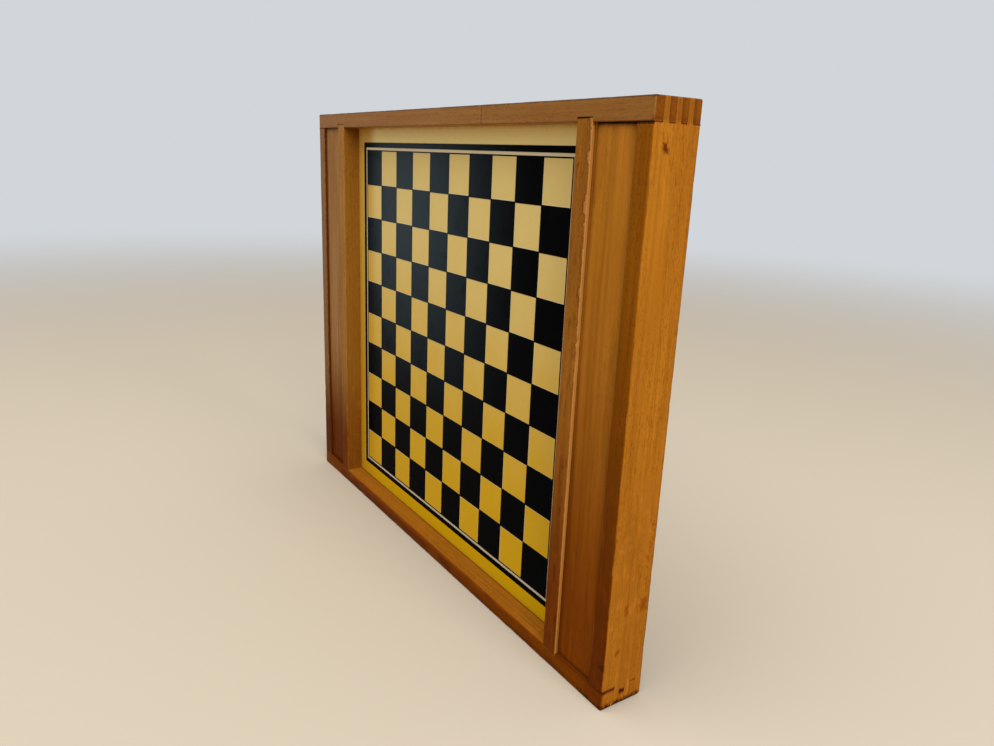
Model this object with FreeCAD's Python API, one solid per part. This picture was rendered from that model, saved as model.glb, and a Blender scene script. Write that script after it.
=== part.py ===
import FreeCAD, Part
import os

# A reversible game board in a box frame, standing on its bottom rail as it is stored.
# X runs across the board, Y from the draughts face to the chess face, and Z up.
# The origin is the middle of the standing face. Sizes are in millimetres.

# Playing board: a thin core with a printed sheet on each face
square = 31.0
square_count = 10
chess_square_count = 8
board_margin = 20.0  # from the squares to the wood
core_thickness = 3.0
sheet_thickness = 0.3

# Print: dark squares with a thin outline, a light line and a border band
ink_thickness = 0.15
ink_spread = 0.4  # how far the dark ink runs into a light square
outline_width = 0.6
light_line_width = 2.2
band_width = 4.5

# Frame: four rails with finger joints, and two dividers housed in the long rails
rail_thickness = 13.0
divider_thickness = 14.0
well_width = 36.0
frame_depth = 35.0
finger_count = 7
edge_finger_width = 6.25  # the first and last fingers are broader than the others
joint_gap = 0.7  # the fingers' shoulders and the dividers' ends stand a little open
housing_depth = 3.0
outer_arris_radius = 1.2
inner_arris_radius = 0.6
worn_corner_radius = 5.0
worn_corner_length = 40.0

# Lids and floors of the side wells, all in grooves
groove_depth = 4.0
edge_gap = 0.3  # between the edge of a board and the bottom of its groove
lid_thickness = 4.0
lid_inset = 2.5  # from the rim to the lid's face
lid_clearance = 0.3
lid_top_setback = 0.5  # the lid ends just below the top of the frame
floor_thickness = 3.0
floor_inset = 2.5

# Cuts run past the wood by this much, and points closer than this are one point
overrun = 5.0
same_point = 0.001

# Places that follow from the sizes
grid_width = square * square_count
opening = grid_width + 2 * board_margin
divider_start = opening / 2
well_start = divider_start + divider_thickness
well_end = well_start + well_width
half_width = well_end + rail_thickness
half_depth = frame_depth / 2
inner_bottom = rail_thickness
inner_top = inner_bottom + opening
height = inner_top + rail_thickness
board_middle = (inner_bottom + inner_top) / 2
finger_width = (frame_depth - 2 * edge_finger_width) / (finger_count - 2)
finger_steps = [index * finger_width for index in range(finger_count - 1)]
finger_edges = [-half_depth, *(edge_finger_width - half_depth + step for step in finger_steps), half_depth]
groove_bottom = inner_bottom - groove_depth
groove_top = inner_top + groove_depth
lid_face = lid_inset - half_depth
floor_face = half_depth - floor_inset

front_to_back = (-half_depth, half_depth)
past_front_and_back = (-half_depth - overrun, half_depth + overrun)
core_range = (-core_thickness / 2, core_thickness / 2)
lid_range = (lid_face, lid_face + lid_thickness)
lid_way_range = (lid_range[0] - lid_clearance, lid_range[1] + lid_clearance)
floor_range = (floor_face - floor_thickness, floor_face)

# Each side's direction along X, and for each face its direction along Y, its squares across
# and the remainder that marks its light squares
sides = {"left": -1, "right": 1}
faces = {"draughts": (-1, square_count, 0), "chess": (1, chess_square_count, 1)}

# Which fingers the long rails hold, counted from the draughts face; the side rails hold the others.
# The first two of the bottom rail are one broad finger.
top_fingers = range(0, finger_count, 2)
bottom_fingers = (0, *range(1, finger_count, 2))


def block(x_range, y_range, z_range):
    corner = FreeCAD.Vector(x_range[0], y_range[0], z_range[0])
    sizes = [high - low for low, high in (x_range, y_range, z_range)]
    return Part.makeBox(*sizes, corner)


def ordered(side, near, far):
    return tuple(sorted((side * near, side * far)))


def ease_edges(solid, radius, centres):
    # Rounds the straight edges whose middles are given
    points = [FreeCAD.Vector(*centre) for centre in centres]
    edges = [edge for edge in solid.Edges
             if any(edge.CenterOfMass.isEqual(point, same_point) for point in points)]
    return solid.makeFillet(radius, edges)


def cut_all(solid, cutters):
    for cutter in cutters:
        solid = solid.cut(cutter)
    return solid


def finger_range(index):
    return (finger_edges[index], finger_edges[index + 1])


# Rails

def rounded_envelope():
    # The whole frame's outline with its outer arrises rounded
    solid = block((-half_width, half_width), front_to_back, (0, height))
    return solid.makeFillet(outer_arris_radius, solid.Edges)


def worn_profile(x, radius):
    # What a rounding of this radius takes off the lower back arris
    corner = FreeCAD.Vector(x, half_depth, 0)
    back = FreeCAD.Vector(x, half_depth, radius)
    under = FreeCAD.Vector(x, half_depth - radius, 0)
    centre = FreeCAD.Vector(x, half_depth - radius, radius)
    outward = (corner - centre).normalize()
    arc = Part.Arc(back, centre + outward * radius, under)
    outline = [Part.LineSegment(corner, back), arc, Part.LineSegment(under, corner)]
    return Part.Wire([piece.toShape() for piece in outline])


def worn_corner():
    # The lower back corner at the right is worn round, and the wear fades along the rail
    fresh = worn_profile(half_width - worn_corner_length, outer_arris_radius)
    worn = worn_profile(half_width, worn_corner_radius)
    return Part.makeLoft([fresh, worn], True, True)


def housing(side):
    # The slot across a long rail that takes the end of a divider
    ends = (inner_bottom - housing_depth, inner_top + housing_depth)
    return block(ordered(side, divider_start, well_start), past_front_and_back, ends)


def core_groove():
    across = (-divider_start - groove_depth, divider_start + groove_depth)
    return block(across, core_range, (groove_bottom, groove_top))


def lid_way(side):
    # Grooves that guide a lid, with the slot in the top rail that lets it out
    across = ordered(side, well_start - groove_depth, well_end + groove_depth)
    return block(across, lid_way_range, (groove_bottom, height + overrun))


def floor_groove(side):
    across = ordered(side, well_start - groove_depth, well_end + groove_depth)
    return block(across, floor_range, (groove_bottom, groove_top))


def long_rail(low, high, inner_face, fingers):
    rail = block((-half_width, half_width), front_to_back, (low, high))
    arrises = [(0, -half_depth, inner_face), (0, half_depth, inner_face)]
    rail = ease_edges(rail, inner_arris_radius, arrises)
    past_rail = (low - overrun, high + overrun)
    for side in sides.values():
        end = ordered(side, well_end, half_width + overrun)
        gaps = [block(end, finger_range(index), past_rail)
                for index in range(finger_count) if index not in fingers]
        rail = cut_all(rail, gaps + [housing(side)])
    return rail


def side_rail(side):
    rail = block(ordered(side, well_end, half_width), front_to_back, (0, height))
    inner_face = side * well_end
    arrises = [(inner_face, -half_depth, height / 2), (inner_face, half_depth, height / 2)]
    rail = ease_edges(rail, inner_arris_radius, arrises)
    past_rail = ordered(side, well_end - overrun, half_width + overrun)
    lower_end = (-overrun, inner_bottom + joint_gap)
    upper_end = (inner_top - joint_gap, height + overrun)
    gaps = [block(past_rail, finger_range(index), lower_end) for index in bottom_fingers]
    gaps += [block(past_rail, finger_range(index), upper_end) for index in top_fingers]
    return cut_all(rail, gaps)


def finished(rail):
    cutters = [worn_corner(), core_groove()]
    for side in sides.values():
        cutters += [lid_way(side), floor_groove(side)]
    return cut_all(rail.common(rounded_envelope()), cutters)


# Dividers, lids and floors

def divider(side):
    across = ordered(side, divider_start, well_start)
    reach = housing_depth - joint_gap
    bar = block(across, front_to_back, (inner_bottom - reach, inner_top + reach))
    arrises = [(x, y, board_middle) for x in across for y in front_to_back]
    bar = ease_edges(bar, inner_arris_radius, arrises)
    return cut_all(bar, [core_groove(), lid_way(side), floor_groove(side)])


def well_board_width(side):
    return ordered(side, well_start - groove_depth + edge_gap, well_end + groove_depth - edge_gap)


def lid(side):
    ends = (groove_bottom + lid_clearance, height - lid_top_setback)
    return block(well_board_width(side), lid_range, ends)


def well_floor(side):
    return block(well_board_width(side), floor_range, (groove_bottom + edge_gap, groove_top - edge_gap))


# Playing board

def core():
    reach = divider_start + groove_depth - edge_gap
    return block((-reach, reach), core_range, (groove_bottom + edge_gap, groove_top - edge_gap))


def sheet(face):
    depth = ordered(face, core_thickness / 2, core_thickness / 2 + sheet_thickness)
    return block((-divider_start, divider_start), depth, (inner_bottom, inner_top))


def print_outline(face, x, z, width):
    # A square on the face of a sheet, given by its middle and its width
    y = face * (core_thickness / 2 + sheet_thickness)
    reach = width / 2
    turns = ((-1, -1), (1, -1), (1, 1), (-1, 1), (-1, -1))
    return Part.makePolygon([FreeCAD.Vector(x + a * reach, y, z + b * reach) for a, b in turns])


def ink(face, outlines):
    # The first outline is the edge of the ink, and the others are bare places in it
    film = Part.makeFace(outlines, "Part::FaceMakerBullseye")
    return film.extrude(FreeCAD.Vector(0, face * ink_thickness, 0))


def dark_squares(face, count, light_remainder):
    # Dark ink over the whole grid, left bare at each light square
    cell = grid_width / count
    outlines = [print_outline(face, 0, board_middle, grid_width + 2 * outline_width)]
    for column in range(count):
        for row in range(count):
            if (column + row) % 2 == light_remainder:
                x = (column - (count - 1) / 2) * cell
                z = (row - (count - 1) / 2) * cell + board_middle
                outlines.append(print_outline(face, x, z, cell - 2 * ink_spread))
    return ink(face, outlines)


def border_band(face):
    inside = grid_width + 2 * (outline_width + light_line_width)
    outside = inside + 2 * band_width
    return ink(face, [print_outline(face, 0, board_middle, width) for width in (outside, inside)])


parts = {
    "top_rail": finished(long_rail(inner_top, height, inner_top, top_fingers)),
    "bottom_rail": finished(long_rail(0, inner_bottom, inner_bottom, bottom_fingers)),
    "board_core": core(),
}
for name, side in sides.items():
    parts[f"{name}_rail"] = finished(side_rail(side))
    parts[f"{name}_divider"] = divider(side)
    parts[f"{name}_lid"] = lid(side)
    parts[f"{name}_floor"] = well_floor(side)
for name, (face, count, light_remainder) in faces.items():
    parts[f"{name}_sheet"] = sheet(face)
    parts[f"{name}_squares"] = dark_squares(face, count, light_remainder)
    parts[f"{name}_border"] = border_band(face)

os.makedirs("parts", exist_ok=True)
for name, shape in parts.items():
    shape.exportStep(f"parts/{name}.step")
    print(name, len(shape.Solids), "solid", shape.isValid(), round(shape.Volume))
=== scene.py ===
import math
import bmesh
import bpy
from mathutils import Matrix, Vector, noise


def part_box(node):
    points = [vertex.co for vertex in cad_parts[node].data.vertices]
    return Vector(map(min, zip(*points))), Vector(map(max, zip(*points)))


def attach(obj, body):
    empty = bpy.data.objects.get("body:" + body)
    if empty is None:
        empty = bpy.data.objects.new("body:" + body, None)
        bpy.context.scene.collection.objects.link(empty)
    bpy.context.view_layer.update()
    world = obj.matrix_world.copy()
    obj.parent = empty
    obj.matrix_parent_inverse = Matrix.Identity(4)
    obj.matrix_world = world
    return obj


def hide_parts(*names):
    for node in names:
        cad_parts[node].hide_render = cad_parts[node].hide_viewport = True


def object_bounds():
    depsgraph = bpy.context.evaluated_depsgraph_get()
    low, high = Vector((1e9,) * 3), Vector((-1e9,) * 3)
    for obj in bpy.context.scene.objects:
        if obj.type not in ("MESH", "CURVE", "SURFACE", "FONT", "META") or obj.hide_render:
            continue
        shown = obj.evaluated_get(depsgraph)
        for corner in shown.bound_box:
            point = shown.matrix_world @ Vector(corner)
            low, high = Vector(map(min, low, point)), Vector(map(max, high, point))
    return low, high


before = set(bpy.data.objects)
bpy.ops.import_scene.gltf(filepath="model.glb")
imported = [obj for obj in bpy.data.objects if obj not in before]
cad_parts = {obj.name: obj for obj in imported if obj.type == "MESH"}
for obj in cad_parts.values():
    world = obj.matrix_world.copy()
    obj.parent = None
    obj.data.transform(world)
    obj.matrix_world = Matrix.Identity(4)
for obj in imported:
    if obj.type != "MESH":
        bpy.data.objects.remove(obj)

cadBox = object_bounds()
mm = 0.001
axes = {"X": Vector((1, 0, 0)), "Y": Vector((0, 1, 0)), "Z": Vector((0, 0, 1))}
print("frame loaded:", len(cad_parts), "nodes")


# node helpers

def paint(red, green, blue):  # a colour as a picture editor shows it, 0 to 255
    shares = [v / 255 for v in (red, green, blue)]
    return tuple(s / 12.92 if s < 0.04045 else ((s + 0.055) / 1.055) ** 2.4 for s in shares) + (1.0,)


def plugIn(tree, socket, value):
    if isinstance(value, bpy.types.NodeSocket):
        tree.links.new(value, socket)
    else:
        socket.default_value = value


def newNode(tree, kind, values, **settings):
    node = tree.nodes.new("ShaderNode" + kind)
    for name, setting in settings.items():
        setattr(node, name, setting)
    for key, value in values.items():
        plugIn(tree, node.inputs[key], value)
    return node


def calc(tree, operation, *values):
    return newNode(tree, "Math", dict(enumerate(values)), operation=operation).outputs[0]


def vectorCalc(tree, operation, *values):
    node = newNode(tree, "VectorMath", dict(enumerate(values)), operation=operation)
    return node.outputs["Value" if operation in ("LENGTH", "DISTANCE") else "Vector"]


def fade(tree, value, start, end):  # smooth, 0 at start and 1 at end
    node = newNode(tree, "MapRange", {0: value, 1: start, 2: end}, interpolation_type="SMOOTHSTEP")
    return node.outputs[0]


def cloud(tree, place, scale, detail=2.0, rough=0.5):
    scaled = vectorCalc(tree, "MULTIPLY", place, scale)
    values = {"Vector": scaled, "Scale": 1.0, "Detail": detail, "Roughness": rough}
    return newNode(tree, "TexNoise", values).outputs["Fac"]


def blendColour(tree, share, under, over, mode="MIX"):
    values = {0: share, 6: under, 7: over}
    return newNode(tree, "Mix", values, data_type="RGBA", blend_type=mode).outputs[2]


def pattern(tree, place, levels, **noiseLook):  # a noise, spread between two of its levels
    return fade(tree, cloud(tree, place, **noiseLook), *levels)


def coat(tree, colour, mask, strength, tone):  # one tone laid over the colour
    return blendColour(tree, calc(tree, "MULTIPLY", mask, strength), colour, tone)


def uneven(tree, noiseValue, look):  # roughness that follows a noise
    return calc(tree, "MULTIPLY_ADD", noiseValue, look["roughSpread"], look["roughLeast"])


def split(tree, vector):
    return newNode(tree, "SeparateXYZ", {0: vector}).outputs


def arrisDistance(tree, place, low, high):  # how far a point on a box is from the nearest edge
    offset = vectorCalc(tree, "ABSOLUTE", vectorCalc(tree, "SUBTRACT", place, (low + high) / 2))
    x, y, z = split(tree, vectorCalc(tree, "SUBTRACT", (high - low) / 2, offset))
    return calc(tree, "MAXIMUM", calc(tree, "MINIMUM", x, y),
                calc(tree, "MINIMUM", calc(tree, "MAXIMUM", x, y), z))


def startMaterial(name):
    material = bpy.data.materials.new(name)
    material.use_nodes = True
    material.node_tree.nodes.clear()
    return material, material.node_tree


def finishMaterial(tree, look, colour, rough, height):
    relief = {"Strength": look["bump"], "Distance": look["bumpDistance"], "Height": height}
    bump = newNode(tree, "Bump", relief).outputs[0]
    values = {"Base Color": colour, "Roughness": rough, "Normal": bump}
    surface = newNode(tree, "BsdfPrincipled", {**look["shader"], **values})
    output = newNode(tree, "OutputMaterial", {"Surface": surface.outputs[0]})
    output.is_active_output = True


def dress(obj, material):
    obj.data.materials.clear()
    obj.data.materials.append(material)


# beech

beech = {
    "light": paint(167, 107, 27),
    "deep": paint(153, 95, 22),
    "ringLine": paint(118, 66, 10),
    "fleck": paint(90, 46, 6),
    "blotch": paint(184, 116, 36),  # lighter patches, mostly low down
    "endGrain": paint(226, 206, 168),  # multiplied over the ends
    "raw": paint(190, 134, 68),  # bare wood where the varnish is rubbed off
    "grime": paint(38, 11, 3),
    "stain": paint(86, 34, 5),
    "patch": paint(118, 58, 3),
    "rubbed": paint(152, 84, 14),
    "frontToneAndSheen": paint(255, 255, 255),  # multiplied over the front: the wood's own tone, and on some pieces a painted sheen
    "footShade": paint(180, 144, 24),  # painted shade, multiplied towards the foot
    "footHeight": 0.29,
    "footEnd": 0.04,
    "footSide": 0.15,  # how much of it the other sides take
    "seedSpread": (1, 1.7, 2.3),
    "ringSpacing": 3.6 * mm,
    "ringWander": 20 * mm,
    "wanderScale": (22, 22, 3.2),
    "ringTaper": 0.03,  # the rings hardly change along the grain
    "ringRise": (0.25, 0.9),
    "ringFall": (1.0, 0.92),
    "ringStrength": 0.13,
    "streakStrength": 0.3,
    "ribbonStrength": 0.15,
    "mottleStrength": 0.08,
    "fleckStrength": 0.42,
    "fleckLeast": 0.2,
    "blotchStrength": 0.5,
    "blotchHeights": (0.26, 0.06),
    "endTurn": (0.55, 0.85),  # how squarely a face looks along the grain
    "faceTurn": (0.4, 0.8),  # and how squarely to the front or back
    "frontHalf": (2 * mm, -2 * mm),
    "wearWidth": 1.6 * mm,
    "wearNoise": {"scale": (160, 160, 45), "detail": 4.0, "rough": 0.65},
    "wearLevels": (0.34, 0.5),
    "wearRoughness": 0.3,
    "creviceReach": 6 * mm,
    "creviceHeights": (0.06, 0.24),
    "creviceSamples": 8,
    "roughness": 0.36,
    "roughSpread": 0.22,
    "roughNoise": {"scale": (60, 60, 20), "detail": 3.0},
    "bump": 0.3,
    "bumpDistance": 0.15 * mm,
    "streakDepth": -0.4,
    "fleckDepth": -0.6,
    "jointStrength": 0.45,
    "shader": {"Specular IOR Level": 0.02},
}
figureNoises = {  # scale across, across and along the grain
    "broad": {"scale": (26, 26, 4), "detail": 3.0, "levels": (0.3, 0.7)},
    "streaks": {"scale": (900, 900, 13), "detail": 3.0, "rough": 0.65, "levels": (0.38, 0.7)},
    "ribbons": {"scale": (260, 260, 6), "levels": (0.36, 0.66)},
    "mottles": {"scale": (230, 230, 60), "detail": 3.0, "rough": 0.6, "levels": (0.5, 0.68)},
    "fleckDensity": {"scale": (34, 34, 9), "levels": (0.36, 0.6)},
    "smallFlecks": {"scale": (2400, 2400, 380), "detail": 0.0, "levels": (0.6, 0.7)},
    "longFlecks": {"scale": (1150, 1150, 170), "detail": 0.0, "levels": (0.64, 0.72)},
    "blotches": {"scale": (150, 150, 80), "detail": 3.0, "rough": 0.6, "levels": (0.5, 0.7)},
}
edgeFinger = 6.25 * mm
fingerWidth = 4.5 * mm
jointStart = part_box("right_rail")[0].x
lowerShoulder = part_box("bottom_rail")[1].z
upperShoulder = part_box("top_rail")[0].z

jointLine = {
    "soft": (0.4 * mm, 0.1 * mm),
    "margin": (1 * mm, 2 * mm),  # past the first and last line
    "startSoft": 0.4 * mm,
    "shoulderSoft": 0.8 * mm,
    "lowShare": 0.5,  # cleaner down there
}


def jointLines(tree, place):  # dark lines between the fingers of the corner joints
    x, y, z = split(tree, place)
    firstLine = cadBox[0].y + edgeFinger
    near, far = jointLine["margin"]
    soft = jointLine["shoulderSoft"]
    along = calc(tree, "DIVIDE", calc(tree, "SUBTRACT", y, firstLine), fingerWidth)
    lineDistance = calc(tree, "MULTIPLY", calc(tree, "PINGPONG", along, 0.5), fingerWidth)
    lines = fade(tree, lineDistance, *jointLine["soft"])
    within = fade(tree, calc(tree, "ABSOLUTE", y), far - firstLine, near - firstLine)
    beyond = fade(tree, calc(tree, "ABSOLUTE", x), jointStart - jointLine["startSoft"], jointStart)
    low = fade(tree, z, lowerShoulder + soft, lowerShoulder)
    low = calc(tree, "MULTIPLY", low, fade(tree, y, firstLine + near, firstLine + far))
    low = calc(tree, "MULTIPLY", low, jointLine["lowShare"])
    high = fade(tree, z, upperShoulder - soft, upperShoulder)
    region = calc(tree, "MULTIPLY", beyond, calc(tree, "ADD", low, high))
    return calc(tree, "MULTIPLY", calc(tree, "MULTIPLY", lines, within), region)


plainMark = {
    "tone": "grime",
    "soft": 0.4,
    "ragged": 0.3,
    "raggedGain": 4,
    "waves": (420, 420, 240),
    "waveDetail": 3.0,
    "spots": {"scale": (640, 640, 420), "detail": 1.0},
}


def boxMark(tree, place, mark):  # 1 inside a box given in millimetres, with a soft and ragged edge
    low, high = Vector(mark["from"]) * mm, Vector(mark["to"]) * mm
    offset = vectorCalc(tree, "ABSOLUTE", vectorCalc(tree, "SUBTRACT", place, (low + high) / 2))
    x, y, z = split(tree, vectorCalc(tree, "SUBTRACT", offset, (high - low) / 2))
    outside = calc(tree, "MAXIMUM", calc(tree, "MAXIMUM", x, y), z)
    ragged = mark["ragged"] * mm * mark["raggedGain"]
    waves = cloud(tree, place, mark["waves"], mark["waveDetail"])
    outside = calc(tree, "MULTIPLY_ADD", waves, ragged,
                   calc(tree, "SUBTRACT", outside, ragged / 2))
    soft = mark["soft"] * mm
    cover = calc(tree, "MULTIPLY", fade(tree, outside, soft, -soft), mark["strength"])
    if "speckle" in mark:  # only in spots, from these two levels of a fine noise
        spots = pattern(tree, place, mark["speckle"], **mark["spots"])
        cover = calc(tree, "MULTIPLY", cover, spots)
    if "heights" in mark:  # growing from one height to the other
        start, end = mark["heights"]
        cover = calc(tree, "MULTIPLY", cover, fade(tree, split(tree, place)[2], start * mm, end * mm))
    return cover


chipLook = {
    "noisePlace": (0.37, 0.61),
    "detail": 3.0,
    "rough": 0.7,
    "frontDepths": (0.6 * mm, 0.3 * mm),
    "edgeSoft": 0.15 * mm,
    "rimWidths": (0.9 * mm, 0.3 * mm),
    "rimStart": (0.2 * mm, 0.6 * mm),  # widths of a chip from which it has a rim
    "bareStrength": 0.6,
    "rimStrength": 0.62,
}


def chippedEdge(tree, place, chips):  # bits broken off an upright arris: the bare wood, and its dark rim
    x, y, z = split(tree, place)
    across, deep = chipLook["noisePlace"]
    upright = newNode(tree, "CombineXYZ", {0: across, 1: deep, 2: z}).outputs[0]
    bites = cloud(tree, upright, (1, 1, chips["scale"]), chipLook["detail"], chipLook["rough"])
    width = calc(tree, "MULTIPLY", fade(tree, bites, *chips["levels"]), chips["width"])
    width = calc(tree, "MULTIPLY", width, fade(tree, z, *chips["heights"]))
    inside = calc(tree, "SUBTRACT", calc(tree, "ADD", x, width), chips["edge"])
    front = fade(tree, y, *[cadBox[0].y + depth for depth in chipLook["frontDepths"]])
    soft = chipLook["edgeSoft"]
    bare = calc(tree, "MULTIPLY", fade(tree, inside, -soft, soft), front)
    rim = fade(tree, calc(tree, "ABSOLUTE", inside), *chipLook["rimWidths"])
    rim = calc(tree, "MULTIPLY", rim, fade(tree, width, *chipLook["rimStart"]))
    return bare, calc(tree, "MULTIPLY", rim, front)


def beechMaterial(piece):
    look = {**beech, **piece.get("look", {})}
    material, tree = startMaterial(piece["node"] + "_beech")
    coordinates = newNode(tree, "TexCoord", {}).outputs
    here = coordinates["Object"]
    x, y, z = split(tree, here)
    order = {"X": (y, z, x), "Z": (x, y, z)}[piece["grain"]]  # across, across, along the grain
    grain = newNode(tree, "CombineXYZ", dict(enumerate(order))).outputs[0]
    place = vectorCalc(tree, "ADD", grain, tuple(piece["seed"] * share for share in look["seedSpread"]))

    # growth rings round a heart that lies outside the piece
    wander = cloud(tree, place, look["wanderScale"])
    fromHeart = vectorCalc(tree, "SUBTRACT", grain, Vector(piece["heart"] + (0,)))
    flattened = vectorCalc(tree, "MULTIPLY", fromHeart, (1, 1, look["ringTaper"]))
    radius = vectorCalc(tree, "LENGTH", flattened)
    shifted = calc(tree, "MULTIPLY_ADD", wander, look["ringWander"], radius)
    phase = calc(tree, "FRACT", calc(tree, "DIVIDE", shifted, look["ringSpacing"]))
    rings = calc(tree, "MULTIPLY", fade(tree, phase, *look["ringRise"]),
                 fade(tree, phase, *look["ringFall"]))

    # broad changes of tone, long streaks, and short dark flecks
    figure = {name: pattern(tree, place, **settings) for name, settings in figureNoises.items()}
    density = calc(tree, "MULTIPLY_ADD", figure["fleckDensity"], 1 - look["fleckLeast"], look["fleckLeast"])
    flecks = calc(tree, "MAXIMUM", figure["smallFlecks"], figure["longFlecks"])
    flecks = calc(tree, "MULTIPLY", flecks, density)
    blotches = calc(tree, "MULTIPLY", figure["blotches"], fade(tree, z, *look["blotchHeights"]))
    colour = blendColour(tree, figure["broad"], look["deep"], look["light"])
    for name, mask, tone in (
        ("blotch", blotches, "blotch"),
        ("ring", rings, "ringLine"),
        ("streak", figure["streaks"], "ringLine"),
        ("ribbon", figure["ribbons"], "ringLine"),
        ("mottle", figure["mottles"], "stain"),
        ("fleck", flecks, "fleck"),
    ):
        colour = coat(tree, colour, mask, look[name + "Strength"], look[tone])

    # ends of the grain drink more varnish; the fronts take their own tone and on some pieces a painted
    # sheen, and the faces take a painted shade towards the foot
    normal = split(tree, coordinates["Normal"])
    ends = fade(tree, calc(tree, "ABSOLUTE", normal["XYZ".index(piece["grain"])]), *look["endTurn"])
    colour = blendColour(tree, ends, colour, look["endGrain"], "MULTIPLY")
    faces = fade(tree, calc(tree, "ABSOLUTE", normal[1]), *look["faceTurn"])
    front = calc(tree, "MULTIPLY", faces, fade(tree, y, *look["frontHalf"]))
    colour = blendColour(tree, front, colour, look["frontToneAndSheen"], "MULTIPLY")
    # painted shade towards the foot, strongest on the fronts and backs
    share = calc(tree, "MULTIPLY_ADD", faces, 1 - look["footSide"], look["footSide"])
    foot = calc(tree, "MULTIPLY", share, fade(tree, z, look["footHeight"], look["footEnd"]))
    colour = blendColour(tree, foot, colour, look["footShade"], "MULTIPLY")

    # arrises rubbed bare here and there
    low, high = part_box(piece["node"])
    edge = fade(tree, arrisDistance(tree, here, low, high), look["wearWidth"], 0.0)
    patches = cloud(tree, place, **look["wearNoise"])
    wear = fade(tree, calc(tree, "MULTIPLY", edge, patches), *look["wearLevels"])
    wear = calc(tree, "MULTIPLY", wear, piece["wear"])
    colour = blendColour(tree, wear, colour, look["raw"])

    colour = coat(tree, colour, jointLines(tree, here), look["jointStrength"], look["grime"])
    for change in piece.get("marks", []):
        mark = {**plainMark, **change}
        colour = blendColour(tree, boxMark(tree, here, mark), colour, look[mark["tone"]])
    if "crevice" in piece:  # painted shade, with some dirt, where another piece stands over this one
        crevice = piece["crevice"]
        openness = newNode(tree, "AmbientOcclusion", {"Distance": look["creviceReach"]},
                           samples=look["creviceSamples"]).outputs["AO"]
        cover = calc(tree, "MULTIPLY", fade(tree, openness, *crevice["levels"]), crevice["strength"])
        cover = calc(tree, "MULTIPLY", cover, fade(tree, x, *crevice["clearOf"]))
        upward = fade(tree, z, *look["creviceHeights"])
        rise = calc(tree, "MULTIPLY_ADD", upward, 1 - crevice["foot"], crevice["foot"])
        colour = coat(tree, colour, cover, rise, look["grime"])
    if "chips" in piece:
        bare, rim = chippedEdge(tree, here, piece["chips"])
        colour = coat(tree, colour, bare, chipLook["bareStrength"], look["raw"])
        colour = coat(tree, colour, rim, chipLook["rimStrength"], look["stain"])

    rough = calc(tree, "MULTIPLY_ADD", cloud(tree, place, **look["roughNoise"]), look["roughSpread"],
                 look["roughness"] - look["roughSpread"] / 2)
    rough = calc(tree, "MULTIPLY_ADD", wear, look["wearRoughness"], rough)
    height = calc(tree, "MULTIPLY_ADD", figure["streaks"], look["streakDepth"],
                  calc(tree, "MULTIPLY", flecks, look["fleckDepth"]))
    finishMaterial(tree, look, colour, rough, height)
    return material


# rails and dividers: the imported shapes, with dents and chips along their arrises

jointLength = 14 * mm
dents = {
    "weld": 0.002 * mm,
    "flatAngle": 0.01,
    "cutSnap": 0.001 * mm,
    "sharpAngle": 32,
    "withinReach": 0.99,
    "cornerSpread": 7.3,
    "seedSpread": (1, 1.3, 1.9),
    "swell": {"often": 40, "shift": 0},
    "coarse": {"often": 170, "shift": 3},
    "fine": {"often": 390, "shift": 5},
    "patches": {"often": 23, "shift": 7},
    "chipLevel": 0.2,
    "fineShare": 0.5,
    "patchBias": 0.3,
    "chipGain": 6,
}


def slope(value, start, end):  # 0 up to the start, 1 from the end
    return min(1.0, max(0.0, (value - start) / (end - start)))


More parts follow.
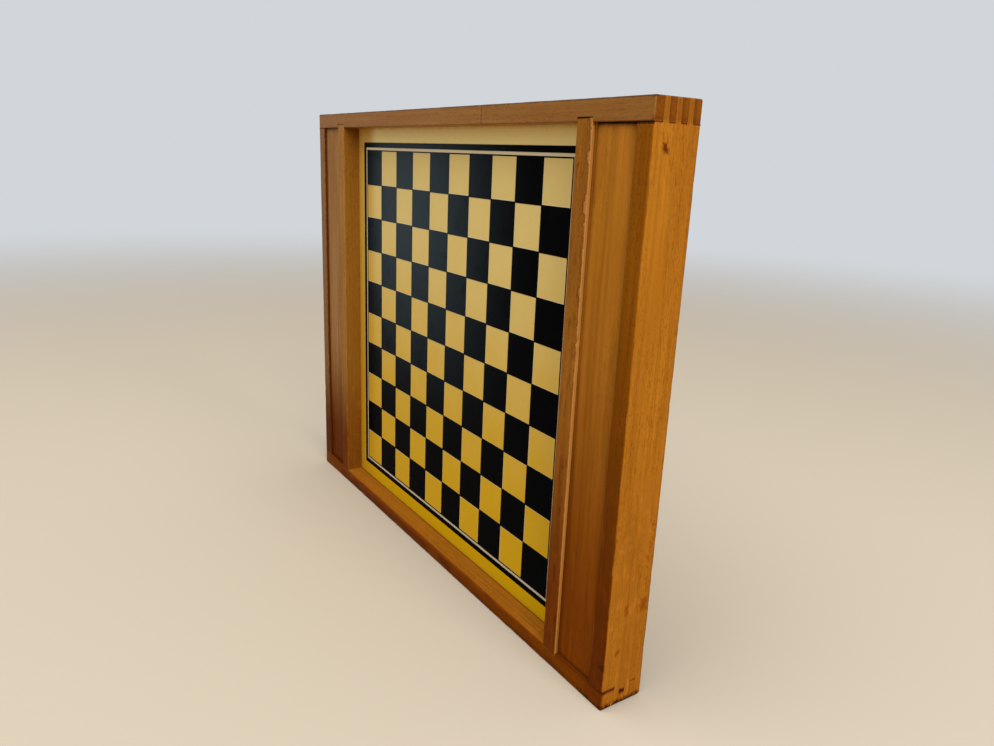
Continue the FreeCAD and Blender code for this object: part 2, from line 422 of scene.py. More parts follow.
def wornTimber(piece):
    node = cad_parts[piece["node"]]
    low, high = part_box(piece["node"])
    along = axes[piece["grain"]]
    shape = bmesh.new()
    shape.from_mesh(node.data)
    bmesh.ops.remove_doubles(shape, verts=shape.verts, dist=dents["weld"])
    bmesh.ops.dissolve_limit(shape, angle_limit=dents["flatAngle"], verts=shape.verts, edges=shape.edges)

    def cut(point, normal):
        parts = shape.verts[:] + shape.edges[:] + shape.faces[:]
        bmesh.ops.bisect_plane(shape, geom=parts, dist=dents["cutSnap"], plane_co=point, plane_no=normal)

    def ripple(corner, spot, kind):
        shift = piece["seed"] + dents[kind]["shift"]
        place = corner * dents["cornerSpread"] + along * spot * dents[kind]["often"]
        return noise.noise(place + Vector([shift * share for share in dents["seedSpread"]]))

    count = round((high - low).dot(along) / piece["section"])
    for step in range(1, count):
        cut(low + along * ((high - low).dot(along) * step / count), along)
    for name, axis in axes.items():  # lines beside the arrises, so that a dent stays at its edge
        if name != piece["grain"]:
            cut(low + axis * piece["dentReach"], axis)
            cut(high - axis * piece["dentReach"], axis)

    middle = (low + high) / 2
    start, end = low.dot(along) + jointLength, high.dot(along) - jointLength
    for vertex in shape.verts:
        inward = Vector()
        nearest = []
        for name, axis in axes.items():
            if name != piece["grain"]:
                offset = (vertex.co - middle).dot(axis)
                nearest.append((high - low).dot(axis) / 2 - abs(offset))
                inward -= axis * math.copysign(1, offset)
        reach = max(nearest)
        worn = piece.get("chipped", inward) == inward
        if worn and reach < piece["dentReach"] * dents["withinReach"]:
            spot = vertex.co.dot(along)
            depth = piece["dent"] * (0.5 + 0.5 * ripple(inward, spot, "swell"))
            chip = max(0.0, ripple(inward, spot, "coarse") - dents["chipLevel"])
            chip += max(0.0, ripple(inward, spot, "fine") - dents["chipLevel"]) * dents["fineShare"]
            patch = max(0.0, dents["patchBias"] + ripple(inward, spot, "patches"))
            rise = slope(vertex.co.z, *piece.get("chipHeights", (-1.0, 0.0)))
            depth += piece["chip"] * min(1.0, dents["chipGain"] * chip * patch) * rise
            depth *= slope(min(spot - start, end - spot), 0.0, jointLength)  # the joints stay true
            vertex.co += inward.normalized() * depth * (1 - reach / piece["dentReach"])

    mesh = bpy.data.meshes.new(piece["name"])
    shape.to_mesh(mesh)
    shape.free()
    if "custom_normal" in mesh.attributes:
        mesh.attributes.remove(mesh.attributes["custom_normal"])
    for face in mesh.polygons:
        face.use_smooth = True
    mesh.set_sharp_from_angle(angle=math.radians(dents["sharpAngle"]))
    obj = bpy.data.objects.new(piece["name"], mesh)
    bpy.context.scene.collection.objects.link(obj)
    obj.modifiers.new("evenShading", "WEIGHTED_NORMAL").keep_sharp = True
    dress(obj, beechMaterial(piece))
    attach(obj, "frame")
    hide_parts(piece["node"])
    print("made", piece["name"], len(mesh.polygons), "faces")


longWaves = (45, 160, 160)  # for stains that run along a rail
topRail = {
    "name": "topRail", "node": "top_rail", "grain": "X", "seed": 1.3, "heart": (-0.09, 0.30),
    "section": 4 * mm, "dentReach": 2.4 * mm, "dent": 0.2 * mm, "chip": 0.4 * mm, "wear": 0.2,
    # greyer colours and front tone: a painted sheen of the backdrop
    "look": {"light": paint(156, 108, 46), "deep": paint(144, 96, 36), "endGrain": paint(204, 174, 20),
             "frontToneAndSheen": (1.04, 1.1, 1.5, 1.0), "shader": {"Specular IOR Level": 0.06}},
    "marks": [
        {"from": (69.4, -18, 362), "to": (70.4, -17, 377), "soft": 0.4, "strength": 0.5},
        {"from": (67.2, -18, 364), "to": (68.8, -17, 375), "soft": 0.8, "tone": "raw", "strength": 0.14},
        # painted light on the rail's underside, as lit from the yellow sheet below it
        {"from": (-175, -16.8, 362), "to": (175, -1.5, 363.4), "soft": 0.3, "tone": "raw",
         "strength": 0.55},
        {"from": (-239, -18, 375.0), "to": (239, -15, 377), "soft": 0.5, "ragged": 0.2, "strength": 0.75},
        {"from": (236, -18, 375.3), "to": (239, 18, 377), "soft": 0.5, "ragged": 0.2, "strength": 0.5},
        {"from": (236, -19, 361), "to": (240, 19, 365.5), "soft": 1.4, "ragged": 0.8, "tone": "stain",
         "strength": 0.4},
        {"from": (236, -7.2, 362), "to": (240, -5.6, 378), "soft": 0.6, "tone": "stain", "strength": 0.35},
        {"from": (236, 2, 362), "to": (240, 4.4, 378), "soft": 0.8, "tone": "stain", "strength": 0.4},
        {"from": (236, 11, 362), "to": (240, 13.4, 378), "soft": 0.8, "tone": "stain", "strength": 0.45},
    ],
}
bottomRail = {
    "name": "bottomRail", "node": "bottom_rail", "grain": "X", "seed": 4.1, "heart": (0.12, -0.06),
    "section": 4 * mm, "dentReach": 2.4 * mm, "dent": 0.2 * mm, "chip": 0.5 * mm, "wear": 0.1,
    "look": {"endGrain": paint(244, 236, 222), "streakStrength": 0.24, "fleckStrength": 0.22,
             "ringStrength": 0.2, "jointStrength": 0.35, "footShade": paint(192, 158, 50),
             "shader": {"Specular IOR Level": 0.01}},
    "marks": [
        # painted contact shadow along the foot of the corner, with dark dirt spots
        {"from": (236, -19, -2), "to": (240, 19, 4.0), "soft": 1.6, "ragged": 2.0, "tone": "stain",
         "strength": 0.6},
        {"from": (215, -19, -2), "to": (240, 19, 2.4), "soft": 0.7, "ragged": 2.0, "strength": 0.85},
        {"from": (236, -15, 0.8), "to": (240, -5, 3), "soft": 0.8, "speckle": (0.56, 0.62), "tone": "raw",
         "strength": 0.8},
        # painted shadow lines along the foot of each lid; at the right they run on into the corner's dark
        # seam
        {"from": (189, -18, 12), "to": (239, -14, 14), "soft": 0.4, "ragged": 0.2, "tone": "stain",
         "strength": 0.9},
        {"from": (-225, -17.4, 12), "to": (-189, -14, 14), "soft": 0.4, "ragged": 0.2, "tone": "stain",
         "strength": 0.9},
        {"from": (-186, -18.4, 11), "to": (176, -15.6, 14), "soft": 1.8, "ragged": 1.6, "waves": longWaves,
         "tone": "rubbed", "strength": 0.6},
        {"from": (-190, -19, 1.5), "to": (45, -16.8, 7.5), "soft": 2.0, "ragged": 3.0, "waves": longWaves,
         "tone": "stain", "strength": 0.72},
        {"from": (45, -19, -1), "to": (200, -16.8, 4), "soft": 2.0, "ragged": 2.4, "waves": longWaves,
         "tone": "stain", "strength": 0.6},
        {"from": (222, -19, -1), "to": (237.6, -16.5, 13), "soft": 2.0, "ragged": 1.0, "tone": "stain",
         "strength": 0.45},
        {"from": (236.6, -19, 0), "to": (239, -16.2, 13), "soft": 0.5, "ragged": 0.3, "tone": "stain",
         "strength": 0.6},
        # painted shadow line where the sheet meets the rail
        {"from": (-175, -3.0, 12), "to": (175, -1.4, 14), "soft": 0.4, "ragged": 0.15, "tone": "stain",
         "strength": 0.6},
        {"from": (236, -4.2, 7.0), "to": (240, 2.6, 10.8), "soft": 1.4, "ragged": 0.8, "tone": "stain",
         "strength": 0.6},
        {"from": (236, -2.3, 8.0), "to": (240, 2.3, 10.4), "soft": 0.6, "ragged": 0.9, "strength": 0.9},
        {"from": (236, -19, 12.0), "to": (240, -6.8, 13.4), "soft": 0.5, "ragged": 0.2, "tone": "stain",
         "strength": 0.85},
        {"from": (236, 6.4, 3), "to": (240, 7.1, 13), "soft": 0.3, "tone": "stain", "strength": 0.7},
    ],
}
leftRail = {
    "name": "leftRail", "node": "left_rail", "grain": "Z", "seed": 7.7, "heart": (-0.29, 0.09),
    "section": 4 * mm, "dentReach": 2.4 * mm, "dent": 0.2 * mm, "chip": 0.4 * mm, "wear": 0.15,
    # greyer front: a painted sheen; darker foot: painted shade
    "look": {"light": paint(161, 107, 37), "deep": paint(147, 95, 30), "frontToneAndSheen": (0.86, 1.2, 4.4, 1.0),
             "footShade": paint(162, 106, 14), "footHeight": 0.13, "shader": {"Specular IOR Level": 0.01}},
    "marks": [
        # painted shade on the rail's inner face beside the lid
        {"from": (-226.0, -17.3, 14), "to": (-224, -14, 362), "soft": 0.4, "tone": "stain",
         "strength": 0.9},
    ],
}
rightRail = {
    "name": "rightRail", "node": "right_rail", "grain": "Z", "seed": 9.2, "heart": (0.30, 0.05),
    "section": 4 * mm, "dentReach": 2.4 * mm, "dent": 0.15 * mm, "chip": 0.25 * mm, "wear": 0.3,
    "look": {"frontToneAndSheen": paint(228, 216, 160), "footHeight": 0.32, "footSide": 0.25,
             "blotchStrength": 0.75, "fleckStrength": 0.36},
    "marks": [
        {"from": (236, -19, 363), "to": (240, 19, 378), "soft": 1.5, "ragged": 0.5, "tone": "stain",
         "strength": 0.36},
        {"from": (236, -9.4, 348.6), "to": (240, -6.4, 352.2), "soft": 1.0, "ragged": 0.7, "tone": "stain",
         "strength": 0.95},
        {"from": (236, -8.4, 347), "to": (240, -5.0, 350), "soft": 1.1, "ragged": 0.7, "tone": "stain",
         "strength": 0.85},
        {"from": (236, -3.4, 66), "to": (240, -1.2, 73.5), "soft": 1.6, "ragged": 1.5, "tone": "patch",
         "strength": 0.9},
        {"from": (236, 9.8, 66), "to": (240, 15, 74), "soft": 2.2, "ragged": 2.0, "tone": "patch",
         "strength": 0.9},
        {"from": (236, 10.5, 78), "to": (240, 16, 130), "soft": 2.0, "speckle": (0.5, 0.64),
         "tone": "patch",
         "strength": 0.65},
        {"from": (236, -8, 38.6), "to": (240, -5.2, 42.2), "soft": 1.4, "ragged": 1.4, "tone": "patch",
         "strength": 0.9},
        {"from": (224, -18, 361.4), "to": (238, -16.9, 363.4), "soft": 0.3, "strength": 0.85},
        # painted shade along the back arris of the outer face
        {"from": (236.4, 16.3, 14), "to": (239, 18, 362), "soft": 0.6, "ragged": 0.5, "strength": 0.45},
        {"from": (236, 6.6, 13.2), "to": (240, 11.4, 14.4), "soft": 0.4, "tone": "stain", "strength": 0.8},
        {"from": (236, -19, 13), "to": (240, -6.6, 14.3), "soft": 0.3, "strength": 0.9},
        {"from": (236, -19, 13), "to": (240, -6.4, 14.9), "soft": 0.6, "ragged": 0.3, "tone": "stain",
         "strength": 0.7},
        {"from": (233, -19, 29.5), "to": (237.6, -16.8, 33), "soft": 1.4, "ragged": 0.8, "strength": 0.55},
        # painted contact shadow along the foot of the corner, with dark dirt spots
        {"from": (236, -19, -2), "to": (240, 19, 4.0), "soft": 1.6, "ragged": 2.0, "tone": "stain",
         "strength": 0.6},
        {"from": (215, -19, -2), "to": (240, 19, 2.4), "soft": 0.7, "ragged": 2.0, "strength": 0.85},
    ],
}
leftDivider = {
    "name": "leftDivider", "node": "left_divider", "grain": "Z", "seed": 12.4, "heart": (-0.10, -0.12),
    "section": 4 * mm, "dentReach": 2.0 * mm, "dent": 0.15 * mm, "chip": 0.4 * mm, "wear": 0.2,
    # greyer front: a painted sheen; darker foot: painted shade
    "look": {"light": paint(153, 103, 34), "deep": paint(138, 90, 26), "frontToneAndSheen": (1.26, 1.5, 3.2, 1.0),
             "footShade": paint(176, 122, 18), "footHeight": 0.145, "footSide": 0.45,
             "shader": {"Specular IOR Level": 0.01}},
}
rightDivider = {
    "name": "rightDivider", "node": "right_divider", "grain": "Z", "seed": 15.8, "heart": (0.25, -0.10),
    "section": 1.3 * mm, "dentReach": 2.2 * mm, "dent": 0.2 * mm, "chip": 1.3 * mm,
    "chipped": Vector((-1, 1, 0)), "chipHeights": (0.1, 0.3), "wear": 0.3,
    "chips": {"edge": 188.6 * mm, "width": 3.0 * mm, "scale": 160, "levels": (0.42, 0.66),
              "heights": (0.18, 0.25)},
    # front tone: a painted sheen; foot tone: painted shade
    "look": {"frontToneAndSheen": (0.94, 0.97, 1.5, 1.0), "footHeight": 0.22, "footShade": paint(194, 150, 24),
             "mottleStrength": 0.34, "ribbonStrength": 0.25},
    "marks": [
        {"from": (188.2, -19, 12), "to": (190, -15.2, 361), "soft": 0.6, "ragged": 0.4,
         "heights": (-90, 160), "tone": "raw", "strength": 0.6},
        {"from": (181.2, -19, 66), "to": (182.8, -17, 78), "soft": 0.6, "ragged": 0.9, "tone": "stain",
         "strength": 0.85},
        {"from": (180.6, -19, 88), "to": (183.6, -17, 150), "soft": 1.8, "ragged": 1.4, "tone": "stain",
         "strength": 0.3},
        {"from": (177, -18, 334), "to": (178.2, -17, 340), "soft": 0.6, "ragged": 0.5, "strength": 0.4},
        {"from": (174, -18, 364.8), "to": (190, -16.6, 366), "soft": 0.3, "strength": 0.8},
    ],
}
for piece in (topRail, bottomRail, leftRail, rightRail, leftDivider, rightDivider):
    wornTimber(piece)


# old glue and dirt in the open shoulders of the corner joints and over the dividers' ends

glue = {
    "gap": 0.7 * mm,
    "flush": 0.15 * mm,  # how far a well filled shoulder lies below the wood
    "sunk": 0.5 * mm,
    "endDepths": (-17.2 * mm, 11 * mm),  # from front to back over a divider's end
    "bevel": 0.12 * mm,
    "bevelProfile": 0.6,
    "squeeze": 0.12 * mm,
    "squeezeOften": 700,
    "dark": paint(36, 11, 4),
    "brown": paint(94, 42, 9),  # high up
    "pale": paint(140, 84, 16),  # low down behind the first finger
    "light": paint(58, 32, 12),
    "paleDepths": (-3 * mm, -2 * mm),
    "brownHeights": (100 * mm, 200 * mm),
    "frontDepths": (-16.9 * mm, -17.2 * mm),  # dark again at the front
    "frontAcross": (0.0, 100 * mm),  # and only at the right
    "topShoulders": ((0, 1), (2, 3), (4, 5), (6, 7)),  # from line to line between the fingers
    "bottomShoulders": ((0, 2), (3, 4), (5, 6)),
    "innerLines": 6,
    "lumps": {"scale": (900, 900, 900), "detail": 3.0},
    "lumpLevels": (0.4, 0.7),
    "lumpStrength": 0.3,
    "roughLeast": 0.5,
    "roughSpread": 0.3,
    "bump": 0.5,
    "bumpDistance": 0.2 * mm,
    "shader": {"Specular IOR Level": 0.05},
}


def addBlock(shape, low, high):
    corners = [shape.verts.new((x, y, z)) for z in (low[2], high[2]) for y in (low[1], high[1])
               for x in (low[0], high[0])]
    for face in ((0, 2, 3, 1), (4, 5, 7, 6), (0, 1, 5, 4), (2, 6, 7, 3), (0, 4, 6, 2), (1, 3, 7, 5)):
        shape.faces.new([corners[i] for i in face])


def glueMaterial(name):
    material, tree = startMaterial(name)
    here = newNode(tree, "TexCoord", {}).outputs["Object"]
    lumps = cloud(tree, here, **glue["lumps"])
    x, y, z = split(tree, here)
    colour = blendColour(tree, fade(tree, y, *glue["paleDepths"]), glue["dark"], glue["pale"])
    colour = blendColour(tree, fade(tree, z, *glue["brownHeights"]), colour, glue["brown"])
    frontRight = calc(tree, "MULTIPLY", fade(tree, y, *glue["frontDepths"]),
                      fade(tree, x, *glue["frontAcross"]))
    colour = blendColour(tree, frontRight, colour, glue["dark"])
    colour = coat(tree, colour, fade(tree, lumps, *glue["lumpLevels"]), glue["lumpStrength"], glue["light"])
    finishMaterial(tree, glue, colour, uneven(tree, lumps, glue), lumps)
    return material


def glueLines():
    shape = bmesh.new()
    front, back = cadBox[0].y, cadBox[1].y
    inner = [front + edgeFinger + step * fingerWidth for step in range(glue["innerLines"])]
    lines = [front] + inner + [back]
    shoulders = [(lowerShoulder, *span) for span in glue["bottomShoulders"]]
    shoulders += [(upperShoulder - glue["gap"], *span) for span in glue["topShoulders"]]
    for side in (-1, 1):
        for bottom, first, last in shoulders:
            hollow = bottom == lowerShoulder and first == 0
            inset = glue["sunk" if hollow else "flush"]
            ends = sorted((side * (jointStart + inset), side * (cadBox[1].x - inset)))
            addBlock(shape, (ends[0], lines[first] + inset, bottom),
                     (ends[1], lines[last] - inset, bottom + glue["gap"]))
    for divider in ("left_divider", "right_divider"):
        low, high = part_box(divider)
        near, far = glue["endDepths"]
        for bottom in (low.z - glue["gap"], high.z):
            addBlock(shape, (low.x + glue["sunk"], near, bottom),
                     (high.x - glue["sunk"], far, bottom + glue["gap"]))
    bmesh.ops.bevel(shape, geom=shape.edges[:], offset=glue["bevel"], segments=2,
                    profile=glue["bevelProfile"], affect="EDGES")
    for vertex in shape.verts:  # squeezed out unevenly
        swell = noise.noise_vector(vertex.co * glue["squeezeOften"])
        vertex.co += glue["squeeze"] * swell * Vector((1, 1, 0))
    mesh = bpy.data.meshes.new("glueLines")
    shape.to_mesh(mesh)
    shape.free()
    obj = bpy.data.objects.new("glueLines", mesh)
    bpy.context.scene.collection.objects.link(obj)
    dress(obj, glueMaterial("glue_dirt"))
    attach(obj, "frame")


glueLines()
print("joint glue laid")


# lids and floors: thin boards with eased edges

boardEdge = {"weld": 0.002 * mm, "easing": 0.4 * mm, "segments": 3}


def thinBoard(piece):
    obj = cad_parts[piece["node"]]
    obj.modifiers.new("joinCorners", "WELD").merge_threshold = boardEdge["weld"]
    ease = obj.modifiers.new("easedEdges", "BEVEL")
    ease.width = boardEdge["easing"]
    ease.segments = boardEdge["segments"]
    obj.modifiers.new("evenShading", "WEIGHTED_NORMAL")
    dress(obj, beechMaterial(piece))


lidLook = {
    "light": paint(195, 131, 46), "deep": paint(177, 115, 32), "ringStrength": 0.16, "ribbonStrength": 0.24,
    "streakStrength": 0.2, "fleckStrength": 0.2, "footShade": paint(172, 134, 30),
}
leftLid = {
    "node": "left_lid", "grain": "Z", "seed": 21.0, "heart": (-0.26, 0.12), "wear": 0.2,
    # greyer colours: a painted sheen; darker foot: painted shade
    "look": {**lidLook, "light": paint(170, 130, 81), "deep": paint(156, 117, 69), "footHeight": 0.16,
             "footShade": paint(162, 104, 14), "shader": {"Specular IOR Level": 0.01}},
    "crevice": {"strength": 0.6, "levels": (0.86, 0.68), "foot": 1.0, "clearOf": (-226 * mm, -225 * mm)},
    "marks": [
        {"from": (-224, -16, 348), "to": (-206, -14, 361), "soft": 1.5, "speckle": (0.62, 0.68),
         "tone": "raw",
         "strength": 0.5},
        {"from": (-222.3, -16, 31), "to": (-219.9, -14, 35.4), "soft": 0.8, "ragged": 0.6,
         "strength": 0.75},
    ],
}
rightLid = {
    "node": "right_lid", "grain": "Z", "seed": 24.6, "heart": (0.16, 0.14), "wear": 0.2,
    "look": {**lidLook, "footHeight": 0.31},
    "crevice": {"strength": 1.0, "levels": (0.85, 0.75), "foot": 0.38, "clearOf": (190 * mm, 191 * mm)},
    "marks": [
        # painted shade with some dirt along the lid's edge beside the divider
        {"from": (180, -18, 8), "to": (192.5, -12, 361), "soft": 2.2, "ragged": 0.4, "tone": "stain",
         "strength": 0.26},
    ],
}
leftFloor = {
    "node": "left_floor", "grain": "Z", "seed": 27.9, "heart": (-0.17, 0.2), "wear": 0.2, "look": lidLook,
}
rightFloor = {
    "node": "right_floor", "grain": "Z", "seed": 31.5, "heart": (0.24, 0.16), "wear": 0.2, "look": lidLook,
}
for piece in (leftLid, rightLid, leftFloor, rightFloor):
    thinBoard(piece)
print("lids and floors dressed")


# playing board

lacquer = {
    # the yellow grows paler upwards: a painted sheen over the stronger yellow low down
    "pale": paint(219, 196, 122),
    "strong": paint(207, 164, 14),
    "margin": paint(252, 240, 162),  # painted light above the border, where the top rail's shade falls
    "woodReflection": paint(198, 151, 30),  # painted reflection of the left divider's wood, beside it
    "line": paint(222, 212, 176),  # the light line between the squares and the border
    "lineWorn": paint(198, 188, 162),  # the same, low down and at the sides
    # darker near the sheet's edges, where it meets the frame
    "edgeDark": paint(150, 104, 30),
    "speck": paint(96, 62, 24),
    "mottle": {"scale": (24, 24, 24), "detail": 4.0, "rough": 0.6},
    "mottleSpread": 0.4,
    "litMarginDepths": (18 * mm, 11 * mm),  # below the upper edge
    "woodReflectionReach": (42 * mm, 20 * mm),  # from the left edge
    "woodReflectionStrength": 0.7,
    "lineReach": (155.4 * mm, 158.0 * mm),
    "lineSoft": 0.1 * mm,
    "lineMitre": 1 * mm,
    "lineWornHeight": 40 * mm,
    "haloWidths": (1.1 * mm, 0.3 * mm),  # where the yellow thins out beside the ink
    "haloEnd": 0.3 * mm,
    "haloStrength": 0.7,
    "edgeDarkWidth": 3 * mm,
    "edgeDarkNoise": {"scale": (120, 120, 120), "detail": 3.0},
    "edgeDarkStrength": 0.5,
    "specks": {"scale": (300, 300, 300), "detail": 0.0, "levels": (0.8, 0.84)},
    "speckStrength": 0.05,
    "roughNoise": {"scale": (90, 90, 90), "detail": 3.0},
    "roughLeast": 0.12,
    "roughSpread": 0.16,
    "fibre": {"scale": (900, 900, 900)},
    "bump": 0.08,
    "bumpDistance": 0.1 * mm,
    "shader": {"Specular IOR Level": 0.05},
}


def lacquerMaterial(name, node, squareCount):
    material, tree = startMaterial(name)
    here = newNode(tree, "TexCoord", {}).outputs["Object"]
    low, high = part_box(node)
    middle = (low.z + high.z) / 2
    x, _, z = split(tree, here)
    spread = lacquer["mottleSpread"]
    mottle = calc(tree, "MULTIPLY_ADD", cloud(tree, here, **lacquer["mottle"]), spread, -spread / 2)
    # paler upwards, a painted sheen, with a mottle
    tone = calc(tree, "ADD", fade(tree, z, low.z, high.z), mottle)
    colour = blendColour(tree, fade(tree, tone, 0.0, 1.0), lacquer["strong"], lacquer["pale"])
    # painted light on the margin above the border
    litMargin = fade(tree, z, *[high.z - depth for depth in lacquer["litMarginDepths"]])
    colour = blendColour(tree, litMargin, colour, lacquer["margin"])
    # painted reflection of the wood beside the left divider
    reflectedWood = fade(tree, x, *[low.x + reach for reach in lacquer["woodReflectionReach"]])
    colour = coat(tree, colour, reflectedWood, lacquer["woodReflectionStrength"], lacquer["woodReflection"])

    # the yellow is thin along the squares, and left out of the light line
    across = calc(tree, "ABSOLUTE", x)
    up = calc(tree, "ABSOLUTE", calc(tree, "SUBTRACT", z, middle))
    outward = calc(tree, "MAXIMUM", across, up)
    gridHalf, lineEnd = lacquer["lineReach"]
    square = 2 * gridHalf / squareCount
    gaps = [calc(tree, "PINGPONG", calc(tree, "DIVIDE", value, square), 0.5) for value in (across, up)]
    nearest = calc(tree, "MULTIPLY", calc(tree, "MINIMUM", *gaps), square)
    halo = calc(tree, "MULTIPLY", fade(tree, nearest, *lacquer["haloWidths"]),
                fade(tree, outward, gridHalf + lacquer["haloEnd"], gridHalf))
    colour = coat(tree, colour, halo, lacquer["haloStrength"], lacquer["line"])
    soft = lacquer["lineSoft"]
    inLine = calc(tree, "MULTIPLY", fade(tree, outward, gridHalf - soft, gridHalf + soft),
                  fade(tree, outward, lineEnd + soft, lineEnd - soft))
    mitre = lacquer["lineMitre"]
    upright = fade(tree, calc(tree, "SUBTRACT", across, up), -mitre, mitre)
    worn = calc(tree, "MAXIMUM", fade(tree, z, middle, low.z + lacquer["lineWornHeight"]), upright)
    lineColour = blendColour(tree, worn, lacquer["line"], lacquer["lineWorn"])
    colour = blendColour(tree, inLine, colour, lineColour)

    # darker near the sheet's edges, where it meets the frame
    edge = fade(tree, arrisDistance(tree, here, low, high), lacquer["edgeDarkWidth"], 0.0)
    edgeDarkening = calc(tree, "MULTIPLY", edge, cloud(tree, here, **lacquer["edgeDarkNoise"]))
    colour = coat(tree, colour, edgeDarkening, lacquer["edgeDarkStrength"], lacquer["edgeDark"])
    specks = pattern(tree, here, **lacquer["specks"])
    colour = coat(tree, colour, specks, lacquer["speckStrength"], lacquer["speck"])
    rough = uneven(tree, cloud(tree, here, **lacquer["roughNoise"]), lacquer)
    finishMaterial(tree, lacquer, colour, rough, cloud(tree, here, **lacquer["fibre"]))
    return material


printInk = {
    "black": paint(6, 7, 9),
    "dusty": paint(12, 12, 13),
    "paintedSheen": paint(54, 66, 73),  # painted reflection of the backdrop, high up on the left
    "sheenAcross": ((120 * mm, -80 * mm), (-175 * mm, -105 * mm)),
    "sheenHeights": (90 * mm, 300 * mm),
    "sheenDepths": (1 * mm, -1 * mm),  # on the front only
    "cover": {"scale": (60, 60, 60), "detail": 4.0, "rough": 0.65},
    "dustLevels": (0.5, 0.8),
    "scratches": {"scale": (2400, 2400, 60), "detail": 1.0, "levels": (0.68, 0.75)},
    "scratchStrength": 0.3,
    "roughLeast": 0.1,
    "roughSpread": 0.2,
    "fibre": {"scale": (700, 700, 700)},
    "bump": 0.06,
    "bumpDistance": 0.1 * mm,
    "shader": {"Specular IOR Level": 0.005},
}


def inkMaterial(name):
    material, tree = startMaterial(name)
    here = newNode(tree, "TexCoord", {}).outputs["Object"]
    cover = cloud(tree, here, **printInk["cover"])
    x, y, z = split(tree, here)
    # a painted reflection of the backdrop, high up on the left of the front
    rightward, leftward = printInk["sheenAcross"]
    light = calc(tree, "MULTIPLY", fade(tree, x, *rightward), fade(tree, x, *leftward))
    light = calc(tree, "MULTIPLY", light, fade(tree, z, *printInk["sheenHeights"]))
    light = calc(tree, "MULTIPLY", light, fade(tree, y, *printInk["sheenDepths"]))
    colour = blendColour(tree, light, printInk["black"], printInk["paintedSheen"])
    dust = fade(tree, cover, *printInk["dustLevels"])
    colour = coat(tree, colour, dust, calc(tree, "SUBTRACT", 1.0, light), printInk["dusty"])
    scratches = pattern(tree, here, **printInk["scratches"])
    colour = coat(tree, colour, scratches, printInk["scratchStrength"], printInk["dusty"])
    rough = uneven(tree, cover, printInk)
    finishMaterial(tree, printInk, colour, rough, cloud(tree, here, **printInk["fibre"]))
    return material


coreBoard = {
    "light": paint(112, 72, 40),
    "dark": paint(78, 46, 24),
    "fibre": {"scale": (700, 700, 700), "detail": 4.0, "rough": 0.7},
    "fibreLevels": (0.3, 0.7),
    "roughLeast": 0.7,
    "roughSpread": 0.2,
    "bump": 0.3,
    "bumpDistance": 0.2 * mm,
    "shader": {"Specular IOR Level": 0.2},
}


def hardboardMaterial(name):
    material, tree = startMaterial(name)
    here = newNode(tree, "TexCoord", {}).outputs["Object"]
    fibre = cloud(tree, here, **coreBoard["fibre"])
    shade = fade(tree, fibre, *coreBoard["fibreLevels"])
    colour = blendColour(tree, shade, coreBoard["dark"], coreBoard["light"])
    finishMaterial(tree, coreBoard, colour, uneven(tree, fibre, coreBoard), fibre)
    return material


ink = inkMaterial("board_ink")
squareCounts = {"draughts": 10, "chess": 8}
dress(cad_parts["board_core"], hardboardMaterial("board_fibre"))
for face, count in squareCounts.items():
    sheet = face + "_sheet"
    dress(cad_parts[sheet], lacquerMaterial(face + "_lacquer", sheet, count))
    for part in ("_squares", "_border"):
        dress(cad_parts[face + part], ink)
print("playing board dressed")


# floor, light and camera

studio = {
    "floorSize": 40.0,
    "floor": (0.53, 0.455, 0.35, 1.0),
    "floorBounce": (0.34, 0.21, 0.10, 1.0),  # the floor's light on the object is warmer than its look
    "backdrop": (0.64, 0.67, 0.70, 1.0),  # what the camera sees behind, and what a gloss mirrors
    "fadeStart": 0.7,  # from here the floor runs into the backdrop
    "fadeEnd": 3.0,
    "sky": (0.97, 0.98, 1.0, 1.0),
    "skyStrength": 0.68,
    "lamps": {
        "key": {"place": (2.6, -0.25, 1.5), "size": 2.2, "power": 80.0},
        "overhead": {"place": (-0.1, -0.7, 1.9), "size": 1.6, "power": 18.0},
    },
}


def seenRays(tree):  # 1 for what the camera sees straight, in a gloss or through glass
    path = newNode(tree, "LightPath", {}).outputs
    seen = calc(tree, "MAXIMUM", path["Is Camera Ray"], path["Is Glossy Ray"])
    return calc(tree, "MAXIMUM", seen, path["Is Transmission Ray"])


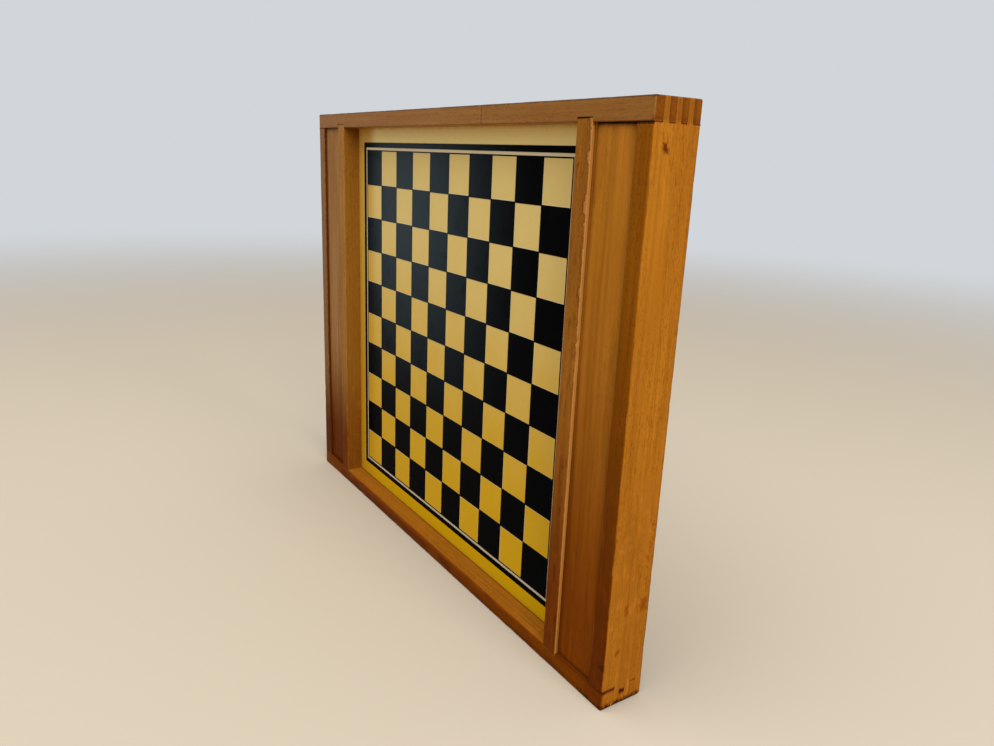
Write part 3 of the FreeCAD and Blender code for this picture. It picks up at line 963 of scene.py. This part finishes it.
def layFloor():
    half = studio["floorSize"] / 2
    mesh = bpy.data.meshes.new("floor")
    corners = [(-half, -half, 0), (half, -half, 0), (half, half, 0), (-half, half, 0)]
    mesh.from_pydata(corners, [], [(0, 1, 2, 3)])
    floor = bpy.data.objects.new("floor", mesh)
    bpy.context.scene.collection.objects.link(floor)
    material, tree = startMaterial("floor_paper")
    here = newNode(tree, "TexCoord", {}).outputs["Object"]
    away = fade(tree, vectorCalc(tree, "LENGTH", here), studio["fadeStart"], studio["fadeEnd"])
    seen = seenRays(tree)
    colour = blendColour(tree, seen, studio["floorBounce"], studio["floor"])
    paper = newNode(tree, "BsdfDiffuse", {"Color": colour}).outputs[0]
    distance = newNode(tree, "Emission", {"Color": studio["backdrop"], "Strength": 1.0}).outputs[0]
    share = calc(tree, "MULTIPLY", away, seen)
    mixed = newNode(tree, "MixShader", {0: share, 1: paper, 2: distance}).outputs[0]
    newNode(tree, "OutputMaterial", {"Surface": mixed})
    dress(floor, material)


def lightStudio():
    world = bpy.data.worlds.new("studioWorld")
    bpy.context.scene.world = world
    world.use_nodes = True
    tree = world.node_tree
    tree.nodes.clear()
    sky = newNode(tree, "Background", {"Color": studio["sky"], "Strength": studio["skyStrength"]})
    wall = newNode(tree, "Background", {"Color": studio["backdrop"], "Strength": 1.0})
    mixed = newNode(tree, "MixShader", {0: seenRays(tree), 1: sky.outputs[0], 2: wall.outputs[0]})
    newNode(tree, "OutputWorld", {"Surface": mixed.outputs[0]})
    for name, lamp in studio["lamps"].items():
        light = bpy.data.lights.new(name, "AREA")
        light.shape = "DISK"
        light.size = lamp["size"]
        light.energy = lamp["power"]
        obj = bpy.data.objects.new(name, light)
        obj.location = lamp["place"]
        aim = (cadBox[0] + cadBox[1]) / 2 - obj.location
        obj.rotation_euler = aim.to_track_quat("-Z", "Y").to_euler()
        bpy.context.scene.collection.objects.link(obj)


view = {
    "place": (0.53907, -0.31182, 0.34096),
    "turn": 55.993,
    "dip": 15.75,
    "roll": 2.428,
    "lens": 27.561,
    "sensor": 36,
    "clipStart": 0.01,
}


def placeCamera():
    data = bpy.data.cameras.new("camera")
    data.sensor_width = view["sensor"]
    data.lens = view["lens"]
    data.clip_start = view["clipStart"]
    camera = bpy.data.objects.new("camera", data)
    turn = Matrix.Rotation(math.radians(view["turn"]), 4, "Z")
    dip = Matrix.Rotation(math.radians(90 - view["dip"]), 4, "X")
    roll = Matrix.Rotation(math.radians(view["roll"]), 4, "Z")
    camera.matrix_world = Matrix.Translation(view["place"]) @ turn @ dip @ roll
    bpy.context.scene.collection.objects.link(camera)
    bpy.context.scene.camera = camera


layFloor()
lightStudio()
placeCamera()
bpy.context.scene.view_settings.view_transform = "Standard"
print("floor, light and camera set")
